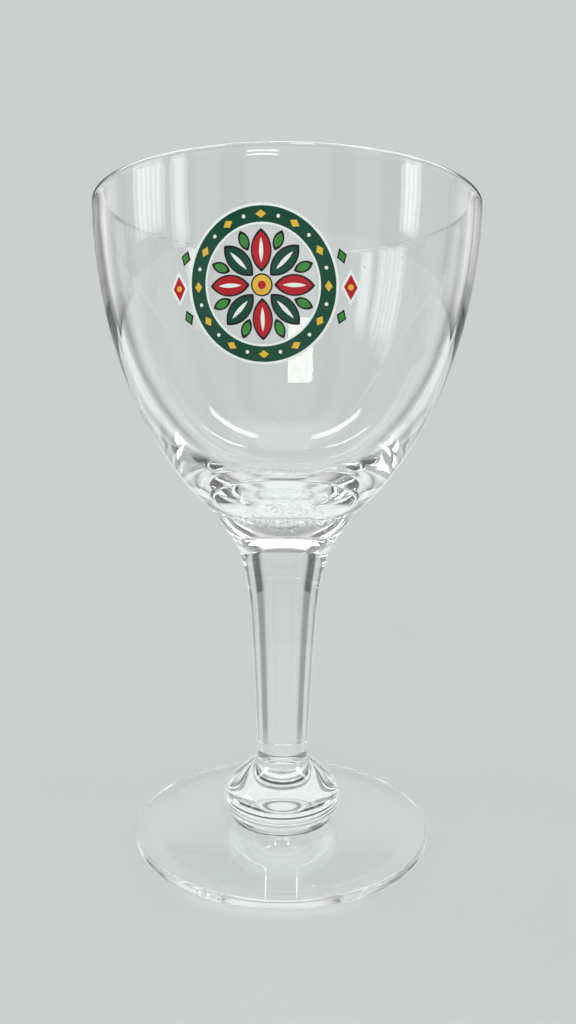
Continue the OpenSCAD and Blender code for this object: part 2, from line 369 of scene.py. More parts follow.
def make_ink_film():
    """Colour, roughness and height of a screen-printed, fired ink: mottle, pinholes and mesh marks."""
    cloud_waves, cloud_edge, dull = 420.0, (0.3, 0.7), 0.12
    pin_cells, pin_edge, pin_shade, pin_depth = 1500.0, (0.05, 0.13), 0.75, 0.6
    grain_waves, relief = 2600.0, 0.012 * MM
    tree, given, out = new_tree(
        "ink_film", "ShaderNodeTree",
        {"Color": ("Color", (0.5, 0.5, 0.5, 1)), "Mottle": ("Float", 0.12), "Gloss": ("Float", 0.14)},
        {"Color": "Color", "Roughness": "Float", "Height": "Float"})
    place = add(tree, "ShaderNodeTexCoord").outputs["Object"]
    cloud = smooth_noise(tree, place, cloud_waves, detail=3.0)
    shade = ranged(tree, cloud, *cloud_edge, 0.0, 1.0)
    low = calc(tree, "SUBTRACT", 1.0, given["Mottle"])
    factor = ranged(tree, shade, 0.0, 1.0, low, 1.0)
    dots = add(tree, "ShaderNodeTexVoronoi", {"Vector": place, "Scale": pin_cells})
    pin = ranged(tree, dots.outputs["Distance"], *pin_edge, pin_shade, 1.0)
    factor = calc(tree, "MULTIPLY", factor, pin)
    mixed = add(tree, "ShaderNodeVectorMath", {0: given["Color"], "Scale": factor}, operation="SCALE")
    tree.links.new(mixed.outputs[0], out["Color"])
    tree.links.new(calc(tree, "ADD", given["Gloss"], calc(tree, "MULTIPLY", shade, dull)), out["Roughness"])
    grain = smooth_noise(tree, place, grain_waves)
    height = calc(tree, "ADD", grain, calc(tree, "MULTIPLY", pin, pin_depth))
    tree.links.new(calc(tree, "MULTIPLY", height, relief), out["Height"])
    return tree


def make_paper_fibres():
    """Colour factor and height of machine-made paper."""
    fibre_stretch, fibre_edge = (1.0, 1.0, 0.25), (0.3, 0.7)
    fibre_shade, fibre_relief = 0.86, 0.02 * MM
    crease_waves, crease_stretch = 130.0, (1.0, 1.0, 0.6)
    tree, given, out = new_tree(
        "paper_fibres", "ShaderNodeTree",
        {"Scale": ("Float", 900.0), "Crumple": ("Float", 0.05 * MM)},
        {"Factor": "Float", "Height": "Float"})
    place = add(tree, "ShaderNodeTexCoord").outputs["Object"]
    fibre = smooth_noise(tree, place, given["Scale"], detail=6.0, stretch=fibre_stretch)
    crease = smooth_noise(tree, place, crease_waves, stretch=crease_stretch)
    tree.links.new(ranged(tree, fibre, *fibre_edge, fibre_shade, 1.0), out["Factor"])
    fine = calc(tree, "MULTIPLY", fibre, fibre_relief)
    tree.links.new(calc(tree, "ADD", fine, calc(tree, "MULTIPLY", crease, given["Crumple"])), out["Height"])
    return tree


wash_wear = make_wash_wear()
hot_waves = make_hot_waves()
ink_film = make_ink_film()
paper_fibres = make_paper_fibres()


# Materials


def new_material(name):
    """Makes a material with one Principled shader, and gives its tree and that shader."""
    made = bpy.data.materials.new(name)
    made.use_nodes = True
    return made, made.node_tree, made.node_tree.nodes["Principled BSDF"]


def bumped(tree, shader, height):
    """Feeds a height in metres to the shader's normal."""
    bump = add(tree, "ShaderNodeBump", {"Height": height, "Distance": 1.0, "Strength": 1.0})
    tree.links.new(bump.outputs[0], shader.inputs["Normal"])


def glass(name, wave, depth, ribs, film):
    """Clear soda glass with washing wear on its surface and slow waves in it."""
    made, tree, shader = new_material(name)
    shader.inputs["Base Color"].default_value = (*SODA_TINT, 1)
    shader.inputs["IOR"].default_value = SODA_INDEX
    shader.inputs["Transmission Weight"].default_value = 1.0
    shader.inputs["Metallic"].default_value = 0.0
    wear = add(tree, "ShaderNodeGroup", node_tree=wash_wear)
    wear.inputs["Film"].default_value = film
    tree.links.new(wear.outputs["Roughness"], shader.inputs["Roughness"])
    waves = add(tree, "ShaderNodeGroup", node_tree=hot_waves)
    waves.inputs["Wave"].default_value = wave
    waves.inputs["Depth"].default_value = depth
    waves.inputs["Ribs"].default_value = ribs
    bumped(tree, shader, waves.outputs["Height"])
    return made


def ink(name, colour, mottle, gloss):
    """Fired enamel ink."""
    made, tree, shader = new_material(name)
    film = add(tree, "ShaderNodeGroup", node_tree=ink_film)
    film.inputs["Color"].default_value = (*colour, 1)
    film.inputs["Mottle"].default_value = mottle
    film.inputs["Gloss"].default_value = gloss
    tree.links.new(film.outputs["Color"], shader.inputs["Base Color"])
    tree.links.new(film.outputs["Roughness"], shader.inputs["Roughness"])
    shader.inputs["Specular IOR Level"].default_value = 0.3
    bumped(tree, shader, film.outputs["Height"])
    return made


def paper(name, colour):
    """Plain label paper, thin enough for light to come through it."""
    made, tree, shader = new_material(name)
    fibres = add(tree, "ShaderNodeGroup", node_tree=paper_fibres)
    tone = add(tree, "ShaderNodeVectorMath", {0: colour, "Scale": fibres.outputs["Factor"]},
               operation="SCALE").outputs[0]
    tree.links.new(tone, shader.inputs["Base Color"])
    shader.inputs["Roughness"].default_value = 0.85
    shader.inputs["Subsurface Weight"].default_value = 1.0
    shader.inputs["Subsurface Radius"].default_value = (1.0, 1.0, 1.0)
    shader.inputs["Subsurface Scale"].default_value = LABEL_T
    bumped(tree, shader, fibres.outputs["Height"])
    return made


def joint_glass(name):
    """The face where two pieces are melted into one: nothing shows there."""
    made, _, shader = new_material(name)
    shader.inputs["Alpha"].default_value = 0.0
    return made


def bubble_gas(name):
    """A tiny bubble in the glass, which glints, and whose tint is painted shade that greys it."""
    made, tree, shader = new_material(name)
    shader.inputs["Transmission Weight"].default_value = 1.0
    shader.inputs["IOR"].default_value = GAS_INDEX
    # Painted shade: the tint greys the bubble, which clear gas doesn't do
    shader.inputs["Base Color"].default_value = (*BUBBLE_PAINTED_SHADE, 1)
    wear = add(tree, "ShaderNodeGroup", node_tree=wash_wear)
    tree.links.new(wear.outputs["Roughness"], shader.inputs["Roughness"])
    return made


BOWL_GLASS = glass("bowl_glass", wave=45.0, depth=0.05 * MM, ribs=0.3, film=0.015)
STEM_GLASS = glass("stem_glass", wave=70.0, depth=0.03 * MM, ribs=0.5, film=0.01)
FOOT_GLASS = glass("foot_glass", wave=60.0, depth=0.03 * MM, ribs=0.0, film=0.02)
WELD = joint_glass("weld")
BUBBLE = bubble_gas("bubble")
INKS = {
    "white": ink("white_ink", (0.80, 0.86, 0.83), mottle=0.06, gloss=0.16),
    "black": ink("black_ink", (0.008, 0.008, 0.009), mottle=0.2, gloss=0.12),
    "red": ink("red_ink", (0.47, 0.010, 0.020), mottle=0.14, gloss=0.12),
    "dark_green": ink("dark_green_ink", (0.006, 0.068, 0.038), mottle=0.2, gloss=0.12),
    "leaf_green": ink("leaf_green_ink", (0.05, 0.25, 0.05), mottle=0.16, gloss=0.12),
    "gold": ink("gold_ink", (0.75, 0.48, 0.05), mottle=0.12, gloss=0.14),
}
PAPER = paper("label_paper", (0.9, 0.9, 0.88))


# Turned glass


def make_turned_tree():
    """Turns an outline about the upright axis into a closed piece whose weld faces have a material
    of their own."""
    tree, given, out = new_tree(
        "turned_glass", "GeometryNodeTree",
        {"Outline": ("Geometry", None), "Outline points": ("Int", 2), "Segments": ("Int", 3),
         "Low weld": ("Float", -1.0), "High weld": ("Float", -1.0),
         "Glass": ("Material", None), "Weld": ("Material", None)},
        {"Geometry": "Geometry"})
    across = calc(tree, "ADD", given["Segments"], 1)
    grid = add(tree, "GeometryNodeMeshGrid", {"Vertices X": across, "Vertices Y": given["Outline points"]})
    index = add(tree, "GeometryNodeInputIndex").outputs[0]
    step = calc(tree, "FLOOR", calc(tree, "DIVIDE", calc(tree, "ADD", index, 0.5), given["Outline points"]))
    angle = calc(tree, "DIVIDE", calc(tree, "MULTIPLY", step, math.tau), given["Segments"])
    place = calc(tree, "SUBTRACT", index, calc(tree, "MULTIPLY", step, given["Outline points"]))
    sample = add(tree, "GeometryNodeSampleIndex", data_type="FLOAT_VECTOR", domain="POINT")
    tree.links.new(given["Outline"], sample.inputs["Geometry"])
    tree.links.new(add(tree, "GeometryNodeInputPosition").outputs[0], sample.inputs["Value"])
    tree.links.new(place, sample.inputs["Index"])
    spot = add(tree, "ShaderNodeSeparateXYZ", {0: sample.outputs[0]}).outputs
    turned = joined_xyz(tree, calc(tree, "MULTIPLY", spot[0], calc(tree, "COSINE", angle)),
                        calc(tree, "MULTIPLY", spot[0], calc(tree, "SINE", angle)), spot[2])
    moved = add(tree, "GeometryNodeSetPosition", {"Geometry": grid.outputs["Mesh"], "Position": turned})
    closed = add(tree, "GeometryNodeMergeByDistance", {"Geometry": moved.outputs[0], "Distance": MERGE_GAP})
    smooth = add(tree, "GeometryNodeSetShadeSmooth", {0: closed.outputs[0]}).outputs[0]
    clear = add(tree, "GeometryNodeSetMaterial", {"Geometry": smooth, "Material": given["Glass"]})
    spot = add(tree, "GeometryNodeInputPosition").outputs[0]
    height = add(tree, "ShaderNodeSeparateXYZ", {0: spot}).outputs[2]
    at_low = calc(tree, "COMPARE", height, given["Low weld"], MERGE_GAP)
    at_high = calc(tree, "COMPARE", height, given["High weld"], MERGE_GAP)
    on_weld = calc(tree, "MAXIMUM", at_low, at_high)
    real = add(tree, "GeometryNodeRealizeInstances", {"Geometry": clear.outputs[0]})
    welded = add(tree, "GeometryNodeSetMaterial",
                 {"Geometry": real.outputs[0], "Selection": on_weld, "Material": given["Weld"]})
    tree.links.new(welded.outputs[0], out["Geometry"])
    return tree


turned_tree = make_turned_tree()


def turned(name, outline, material, low_weld=-1.0, high_weld=-1.0):
    """A turned piece from its outline of (radius, height), which runs from the axis round the outside."""
    source = bpy.data.meshes.new(name)
    edges = [(i, i + 1) for i in range(len(outline) - 1)]
    source.from_pydata([(r, 0, z) for r, z in outline], edges, [])
    values = {"Outline points": len(outline), "Segments": SEGMENTS, "Low weld": low_weld,
              "High weld": high_weld, "Glass": material, "Weld": WELD}
    return shaped(name, source, turned_tree, values)


def along(function, start, end, steps):
    """Points of a curve function from start to end, without the first."""
    return [function(start + (end - start) * i / steps) for i in range(1, steps + 1)]


def drawn(points, steps):
    """Points of a curve from the first point to the last that is drawn towards those between."""
    def at(t):
        row = [Vector(p) for p in points]
        while len(row) > 1:
            row = [a.lerp(b, t) for a, b in zip(row, row[1:])]
        return tuple(row[0])
    return along(at, 0, 1, steps)


def quarter(start, end, steps, flat_first):
    """Quarter of an ellipse that leaves its start level, or else upright."""
    def at(t):
        near, far = math.sin(t), 1 - math.cos(t)
        x, y = (near, far) if flat_first else (far, near)
        return start[0] + (end[0] - start[0]) * x, start[1] + (end[1] - start[1]) * y
    return along(at, 0, math.pi / 2, steps)


def bowl_r(z):
    """Outer radius of the bowl at a height."""
    return MOUTH_R * (1 - ((RIM_Z - z) / OUTER_DEPTH) ** 2) ** (1 / BELLY_POWER)


def stem_r(z):
    """Radius of the stem at a height: an even taper and a flare that dies away downwards."""
    length = CORNER_Z - NECK_Z
    start = math.exp(-length / FLARE_L)
    flare = (math.exp((z - CORNER_Z) / FLARE_L) - start) / (1 - start)
    return STEM_R + TAPER_GAIN * (z - NECK_Z) / length + (CORNER_R - STEM_R - TAPER_GAIN) * flare


def bowl_outline():
    """Bowl from the weld up the outside, over the rim and down the inside."""
    rim_z = RIM_Z - WALL / 2
    low = (bowl_r(SEAM_Z + CREASE), SEAM_Z + CREASE)
    points = [(0, SEAM_Z), (bowl_r(SEAM_Z) - CREASE, SEAM_Z)]
    points += drawn([points[1], (low[0] - CREASE_IN, SEAM_Z), low], CREASE_STEPS)
    points += along(lambda z: (bowl_r(z), z), low[1], rim_z, WALL_STEPS)
    rim_angle = math.acos(WALL / 2 / INNER_DEPTH)
    rim_in = INNER_R * math.sin(rim_angle) ** (2 / HOLLOW_POWER)
    middle, half = (bowl_r(rim_z) + rim_in) / 2, (bowl_r(rim_z) - rim_in) / 2
    points += along(lambda a: (middle + half * math.cos(a), rim_z + WALL / 2 * math.sin(a)),
                    0, math.pi, RIM_STEPS)
    return points + along(
        lambda a: (INNER_R * math.sin(a) ** (2 / HOLLOW_POWER), RIM_Z - INNER_DEPTH * math.cos(a)),
        rim_angle, 0, WALL_STEPS)


def stem_outline():
    """Stem from its weld with the foot up to its weld with the bowl."""
    top = (bowl_r(SEAM_Z), SEAM_Z)
    corner = Vector((stem_r(CORNER_Z), CORNER_Z))
    head = (Vector(top) - corner).normalized()
    shaft_end = (stem_r(CORNER_Z - CORNER_ROUND), CORNER_Z - CORNER_ROUND)
    head_start = tuple(corner + head * CORNER_ROUND)
    head_end = tuple(Vector(top) - head * CREASE)
    points = [(0, NECK_Z), (STEM_R - CREASE, NECK_Z)]
    shaft_start = (stem_r(NECK_Z + CREASE), NECK_Z + CREASE)
    points += drawn([points[1], (STEM_R, NECK_Z), shaft_start], CREASE_STEPS)
    points += along(lambda z: (stem_r(z), z), shaft_start[1], shaft_end[1], STEM_STEPS)
    points += drawn([shaft_end, tuple(corner), head_start], SHORT_STEPS)
    points += drawn([head_start, head_end], HEAD_STEPS)
    points += drawn([head_end, top, (top[0] - CREASE, SEAM_Z)], CREASE_STEPS)
    return points + [(0, SEAM_Z)]


def foot_outline():
    """Foot from the middle of its underside round the edge, over the boss and up to the neck's weld."""
    waist_z = PLATE_H + BLEND_H
    boss_z = waist_z + UNDERCUT_H
    waist_r = BOSS_R - UNDERCUT
    dome_top = NECK_Z - NECK_L
    dome_end = (STEM_R + CROWN_W * BLEND_SHARE, dome_top - CROWN_H * BLEND_SHARE)
    plate_in = (waist_r + BLEND_W, PLATE_H)
    points = [(0, HOLLOW_H)]
    points += along(lambda r: (r, HOLLOW_H * (1 - (r / REST_R) ** 2)), 0, REST_R, PLATE_STEPS)
    points += drawn([points[-1], (FOOT_R - EDGE_ROUND, 0)], SHORT_STEPS)
    points += quarter(points[-1], (FOOT_R, EDGE_ROUND), ROUND_STEPS, True)
    points += drawn([points[-1], (FOOT_R, EDGE_T - EDGE_ROUND)], EDGE_STEPS)
    points += quarter(points[-1], (FOOT_R - EDGE_ROUND, EDGE_T), ROUND_STEPS, False)
    points += drawn([points[-1], plate_in], PLATE_STEPS)
    points += quarter(plate_in, (waist_r, waist_z), ROUND_STEPS, True)
    points += drawn([points[-1], (BOSS_R, boss_z - FLANK_H), (BOSS_R, boss_z)], FLANK_STEPS)
    points += drawn([(BOSS_R, boss_z), (BOSS_R, boss_z + SHOULDER_H),
                     (STEM_R + CROWN_W, dome_top - CROWN_H), dome_end], BOSS_STEPS)
    points += drawn([dome_end, (STEM_R, dome_top), (STEM_R, dome_top + NECK_ROUND)], NECK_STEPS)
    points += drawn([points[-1], (STEM_R, NECK_Z - CREASE)], SHORT_STEPS)
    points += drawn([points[-1], (STEM_R, NECK_Z), (STEM_R - CREASE, NECK_Z)], CREASE_STEPS)
    return points + [(0, NECK_Z)]


piece("blown_bowl", [turned("bowl", bowl_outline(), BOWL_GLASS, low_weld=SEAM_Z)],
      ["bowl"])
piece("pressed_stem", [turned("stem", stem_outline(), STEM_GLASS, low_weld=NECK_Z, high_weld=SEAM_Z)],
      ["stem"])
piece("pressed_foot", [turned("foot", foot_outline(), FOOT_GLASS, high_weld=NECK_Z)],
      ["foot"])


# Small bubbles that the welds trap


def make_bubble_tree():
    """Scatters flattened bubbles over a disc or, with a hollow, over a ring."""
    disc_sides, ball_splits = 48, 2
    tree, given, out = new_tree(
        "weld_bubbles", "GeometryNodeTree",
        {"Geometry": ("Geometry", None), "Radius": ("Float", 10 * MM), "Hollow": ("Float", 0.0),
         "Height": ("Float", 0.0), "Spacing": ("Float", 1 * MM), "Density": ("Float", 1.0),
         "Size": ("Float", 0.2 * MM), "Flat": ("Float", 1.0), "Least": ("Float", 1.0),
         "Seed": ("Int", 0), "Gas": ("Material", None)},
        {"Geometry": "Geometry"})
    disc = add(tree, "GeometryNodeMeshCircle", {"Vertices": disc_sides, "Radius": given["Radius"]},
               fill_type="NGON")
    spots = add(tree, "GeometryNodeDistributePointsOnFaces", distribute_method="POISSON")
    for key, value in {"Mesh": disc.outputs[0], "Distance Min": given["Spacing"],
                       "Density Max": given["Density"], "Seed": given["Seed"]}.items():
        tree.links.new(value, spots.inputs[key])
    away = add(tree, "ShaderNodeVectorMath", {0: add(tree, "GeometryNodeInputPosition").outputs[0]},
               operation="LENGTH").outputs["Value"]
    ring = add(tree, "GeometryNodeDeleteGeometry", {
        "Geometry": spots.outputs[0], "Selection": calc(tree, "LESS_THAN", away, given["Hollow"])})
    lifted = add(tree, "GeometryNodeSetPosition", {
        "Geometry": ring.outputs[0], "Offset": joined_xyz(tree, 0, 0, given["Height"])})
    ball = add(tree, "GeometryNodeMeshIcoSphere", {"Radius": 1.0, "Subdivisions": ball_splits})
    chance = add(tree, "FunctionNodeRandomValue", data_type="FLOAT")
    size = calc(tree, "MULTIPLY", given["Size"], ranged(tree, chance.outputs[1], 0, 1, given["Least"], 1))
    put = add(tree, "GeometryNodeInstanceOnPoints", {
        "Points": lifted.outputs[0], "Instance": ball.outputs[0],
        "Scale": joined_xyz(tree, size, size, calc(tree, "MULTIPLY", size, given["Flat"]))})
    real = add(tree, "GeometryNodeRealizeInstances", {"Geometry": put.outputs[0]})
    smooth = add(tree, "GeometryNodeSetShadeSmooth", {0: real.outputs[0]})
    filled = add(tree, "GeometryNodeSetMaterial", {"Geometry": smooth.outputs[0], "Material": given["Gas"]})
    tree.links.new(filled.outputs[0], out["Geometry"])
    return tree


bubble_tree = make_bubble_tree()


def bubbles(name, radius, height, spacing, size, seed, hollow=0.0):
    """A layer of bubbles near a weld, with their greatest radius as size."""
    values = {"Radius": radius, "Hollow": hollow, "Height": height, "Spacing": spacing,
              "Density": BUBBLE_DENSITY, "Size": size, "Flat": BUBBLE_FLAT, "Least": BUBBLE_LEAST,
              "Seed": seed, "Gas": BUBBLE}
    return shaped(name, bpy.data.meshes.new(name), bubble_tree, values)


piece("weld_bubbles", [
    bubbles("over_stem", 15.5 * MM, SEAM_Z + 2 * MM, spacing=1.6 * MM, size=0.22 * MM, seed=3,
            hollow=8 * MM),
    bubbles("over_stem_core", 8 * MM, SEAM_Z + 2.4 * MM, spacing=0.9 * MM, size=0.5 * MM, seed=5),
    bubbles("over_foot", 5.6 * MM, NECK_Z - 0.2 * MM, spacing=1.5 * MM, size=0.1 * MM, seed=8),
])


# Fired print


def make_print_tree():
    """Fills flat closed lines, lays the shapes on the bowl and gives them the ink's thickness.
    Lines whose mark is 1 stand once, and the others are repeated round the middle."""
    splits = 2
    tree, given, out = new_tree(
        "fired_print", "GeometryNodeTree",
        {"Lines": ("Geometry", None), "Copies": ("Int", 1), "First turn": ("Float", 0.0),
         "Print turn": ("Float", 0.0), "Print height": ("Float", 0.0), "Mouth radius": ("Float", 0.0),
         "Rim height": ("Float", 0.0), "Depth": ("Float", 1.0), "Power": ("Float", 2.0),
         "Thickness": ("Float", 0.0), "Sunk": ("Float", 0.0), "Ink": ("Material", None)},
        {"Geometry": "Geometry"})
    mark = add(tree, "GeometryNodeInputNamedAttribute", {"Name": "once"}, data_type="FLOAT").outputs[0]
    parts = add(tree, "GeometryNodeSeparateGeometry", {"Geometry": given["Lines"], "Selection": mark})
    spots = add(tree, "GeometryNodeMeshLine", {"Count": given["Copies"], "Offset": (0, 0, 0)})
    index = add(tree, "GeometryNodeInputIndex").outputs[0]
    turn = calc(tree, "DIVIDE", calc(tree, "MULTIPLY", index, math.tau), given["Copies"])
    turn = calc(tree, "ADD", turn, given["First turn"])
    copies = add(tree, "GeometryNodeInstanceOnPoints", {
        "Points": spots.outputs[0], "Instance": parts.outputs[1], "Rotation": joined_xyz(tree, 0, 0, turn)})
    both = add(tree, "GeometryNodeJoinGeometry")
    tree.links.new(parts.outputs[0], both.inputs[0])
    tree.links.new(copies.outputs[0], both.inputs[0])
    real = add(tree, "GeometryNodeRealizeInstances", {"Geometry": both.outputs[0]})
    curves = add(tree, "GeometryNodeMeshToCurve", {0: real.outputs[0]})
    flat = add(tree, "GeometryNodeFillCurve", {0: curves.outputs[0]})
    fine = add(tree, "GeometryNodeSubdivideMesh", {"Mesh": flat.outputs[0], "Level": splits})
    spot = add(tree, "GeometryNodeInputPosition").outputs[0]
    spot = add(tree, "ShaderNodeSeparateXYZ", {0: spot}).outputs
    height = calc(tree, "ADD", spot[1], given["Print height"])
    drop = calc(tree, "DIVIDE", calc(tree, "SUBTRACT", given["Rim height"], height), given["Depth"])
    level = calc(tree, "SUBTRACT", 1.0, calc(tree, "MULTIPLY", drop, drop))
    radius = calc(tree, "POWER", level, calc(tree, "DIVIDE", 1.0, given["Power"]))
    radius = calc(tree, "MULTIPLY", radius, given["Mouth radius"])
    depth = calc(tree, "SUBTRACT", calc(tree, "MULTIPLY", radius, radius),
                 calc(tree, "MULTIPLY", spot[0], spot[0]))
    depth = calc(tree, "MULTIPLY", calc(tree, "SQRT", depth), -1.0)
    wrapped = add(tree, "ShaderNodeVectorRotate", {
        "Vector": joined_xyz(tree, spot[0], depth, height), "Angle": given["Print turn"]},
        rotation_type="Z_AXIS")
    laid = add(tree, "GeometryNodeSetPosition", {
        "Geometry": fine.outputs[0], "Position": wrapped.outputs[0]})
    normal = add(tree, "GeometryNodeInputNormal").outputs[0]
    inward = add(tree, "ShaderNodeVectorMath",
                 {0: normal, "Scale": calc(tree, "MULTIPLY", given["Sunk"], -1.0)}, operation="SCALE")
    sunk = add(tree, "GeometryNodeSetPosition", {"Geometry": laid.outputs[0], "Offset": inward.outputs[0]})
    thick = calc(tree, "ADD", given["Thickness"], given["Sunk"])
    raised = add(tree, "GeometryNodeExtrudeMesh", {"Mesh": sunk.outputs[0], "Offset Scale": thick,
                                                   "Individual": False}, mode="FACES")
    back = add(tree, "GeometryNodeFlipFaces", {"Mesh": sunk.outputs[0]})
    whole = add(tree, "GeometryNodeJoinGeometry")
    tree.links.new(raised.outputs[0], whole.inputs[0])
    tree.links.new(back.outputs[0], whole.inputs[0])
    closed = add(tree, "GeometryNodeMergeByDistance", {"Geometry": whole.outputs[0], "Distance": MERGE_GAP})
    smooth = add(tree, "GeometryNodeSetShadeSmooth", {0: closed.outputs[0]})
    done = add(tree, "GeometryNodeRealizeInstances", {"Geometry": smooth.outputs[0]})
    inked = add(tree, "GeometryNodeSetMaterial", {"Geometry": done.outputs[0], "Material": given["Ink"]})
    tree.links.new(inked.outputs[0], out["Geometry"])
    return tree


print_tree = make_print_tree()


def circle(r, x=0.0, y=0.0):
    """Closed line of a circle."""
    count = max(LEAST_CHORDS, int(math.tau * r / CHORD))
    return [(x + r * math.cos(math.tau * i / count), y + r * math.sin(math.tau * i / count))
            for i in range(count)]


def pointed(length, width, y=0.0, steps=18):
    """Closed line of a leaf between two arcs, its length upright and its middle at a height."""
    r = (length ** 2 + width ** 2) / (4 * width)
    half = math.asin(length / 2 / r)
    side = [(width / 2 - r + r * math.cos(a), r * math.sin(a))
            for a in (half * (2 * i / steps - 1) for i in range(steps + 1))]
    return [(px, py + y) for px, py in side] + [(-px, y - py) for px, py in side[1:-1]]


def lozenge(width, height, x=0.0, y=0.0, turn=0.0):
    """Closed line of a lozenge, its place turned about the middle together with it."""
    corners = [(x + width / 2, y), (x, y + height / 2), (x - width / 2, y), (x, y - height / 2)]
    spin = Matrix.Rotation(turn, 2)
    corners = [spin @ Vector(c) for c in corners]
    steps = 4
    return [tuple(a.lerp(b, i / steps))
            for a, b in zip(corners, corners[1:] + corners[:1]) for i in range(steps)]


def printed(ink_name, once=(), repeated=(), copies=1, first_turn=0.0):
    """A fired layer from closed lines: some stand once, some are repeated round the print's middle."""
    verts, edges, marks = [], [], []
    for loops, mark in ((once, 1.0), (repeated, 0.0)):
        for loop in loops:
            start, count = len(verts), len(loop)
            verts += [(x, y, 0) for x, y in loop]
            edges += [(start + i, start + (i + 1) % count) for i in range(count)]
            marks += [mark] * count
    source = bpy.data.meshes.new(ink_name)
    source.from_pydata(verts, edges, [])
    source.attributes.new("once", "FLOAT", "POINT").data.foreach_set("value", marks)
    values = {"Copies": copies, "First turn": first_turn, "Print turn": PRINT_TURN, "Print height": PRINT_Z,
              "Mouth radius": MOUTH_R, "Rim height": RIM_Z, "Depth": OUTER_DEPTH, "Power": BELLY_POWER,
              "Thickness": ENAMEL_T, "Sunk": ENAMEL_SUNK, "Ink": INKS[ink_name]}
    return shaped(ink_name, source, print_tree, values)


# Radii and places in the print, from the ring inwards
BAND_OUT_R = RING_R - RING_EDGE
BAND_IN_R = BAND_OUT_R - BAND_W
RING_IN_R = BAND_IN_R - INNER_EDGE
BAND_MID_R = (BAND_OUT_R + BAND_IN_R) / 2
PETAL_START = EYE_R + LINE_W + PETAL_GAP
PETAL_L = RING_IN_R - REACH_GAP - PETAL_START
PETAL_AT = PETAL_START + PETAL_L / 2
LEAF_AT = RING_IN_R - LEAF_GAP - LEAF_L / 2
SIDE_AT = RING_R + SIDE_GAP + SIDE_W / 2
SMALL_AT = RING_R + SMALL_GAP + SMALL_W / 2
TIP_LINES = 4
HALF_PETAL = math.pi / PETAL_COUNT
HALF_LINK = math.pi / RING_COUNT

petal_line = pointed(PETAL_L, PETAL_W, PETAL_AT)
petal_field = pointed(PETAL_L - TIP_LINES * LINE_W, PETAL_W - 2 * LINE_W, PETAL_AT)
vein = pointed(VEIN_L, VEIN_W, PETAL_AT)
leaf_line = pointed(LEAF_L, LEAF_W, LEAF_AT)
leaf_field = pointed(LEAF_L - TIP_LINES * LINE_W, LEAF_W - 2 * LINE_W, LEAF_AT)
link_lozenge = lozenge(LOZENGE_L, LOZENGE_W, y=BAND_MID_R)
pearl = circle(PEARL_R, -BAND_MID_R * math.sin(HALF_LINK), BAND_MID_R * math.cos(HALF_LINK))
side_line = lozenge(SIDE_W, SIDE_H, SIDE_AT)
side_field = lozenge(SIDE_W - 2 * BORDER_W, SIDE_H - 2 * BORDER_W * SIDE_H / SIDE_W, SIDE_AT)
side_dot = circle(SIDE_DOT_R, SIDE_AT)
small_lines = [lozenge(SMALL_W, SMALL_H, SMALL_AT, turn=t) for t in (SMALL_TURN, -SMALL_TURN)]
small_fields = [lozenge(SMALL_W - 2 * LINE_W, SMALL_H - 2 * LINE_W * SMALL_H / SMALL_W, SMALL_AT, turn=t)
                for t in (SMALL_TURN, -SMALL_TURN)]

piece("print_white", [
    printed("white", [circle(RING_R), circle(BAND_OUT_R)]),
    printed("white", [circle(BAND_IN_R), circle(RING_IN_R)]),
    printed("white", [], [vein], PETAL_COUNT),
    printed("white", [], [pearl], RING_COUNT),
    printed("white", [], [side_line, side_field], 2),
], ["enamel_white"])
piece("print_black", [
    printed("black", [circle(EYE_R + LINE_W), circle(EYE_R)], [petal_line, petal_field], PETAL_COUNT),
    printed("black", [], [leaf_line, leaf_field], PETAL_COUNT, HALF_PETAL),
    printed("black", [], small_lines + small_fields, 2),
], ["enamel_black"])
piece("print_red", [
    printed("red", [circle(DOT_R)], [petal_field, vein], PETAL_COUNT // 2),
    printed("red", [], [side_field, side_dot], 2),
], ["enamel_red"])
piece("print_dark_green", [
    printed("dark_green", [circle(BAND_OUT_R), circle(BAND_IN_R)], [link_lozenge, pearl], RING_COUNT),
    printed("dark_green", [], [petal_field, vein], PETAL_COUNT // 2, 2 * HALF_PETAL),
], ["enamel_dark_green"])
piece("print_leaf_green", [
    printed("leaf_green", [], [leaf_field], PETAL_COUNT, HALF_PETAL),
    printed("leaf_green", [], small_fields, 2),
], ["enamel_leaf_green"])
piece("print_gold", [
    printed("gold", [circle(EYE_R), circle(DOT_R)], [link_lozenge], RING_COUNT),
    printed("gold", [], [side_dot], 2),
], ["enamel_gold"])


# Torn paper label


def torn_edge(share):
    """Width share of the label at a height share, between the places of its torn edge."""
    for (x0, y0), (x1, y1) in zip(TORN_SHARES, TORN_SHARES[1:]):
        if share <= y1:
            return x0 + (x1 - x0) * (share - y0) / (y1 - y0)
    return TORN_SHARES[-1][0]


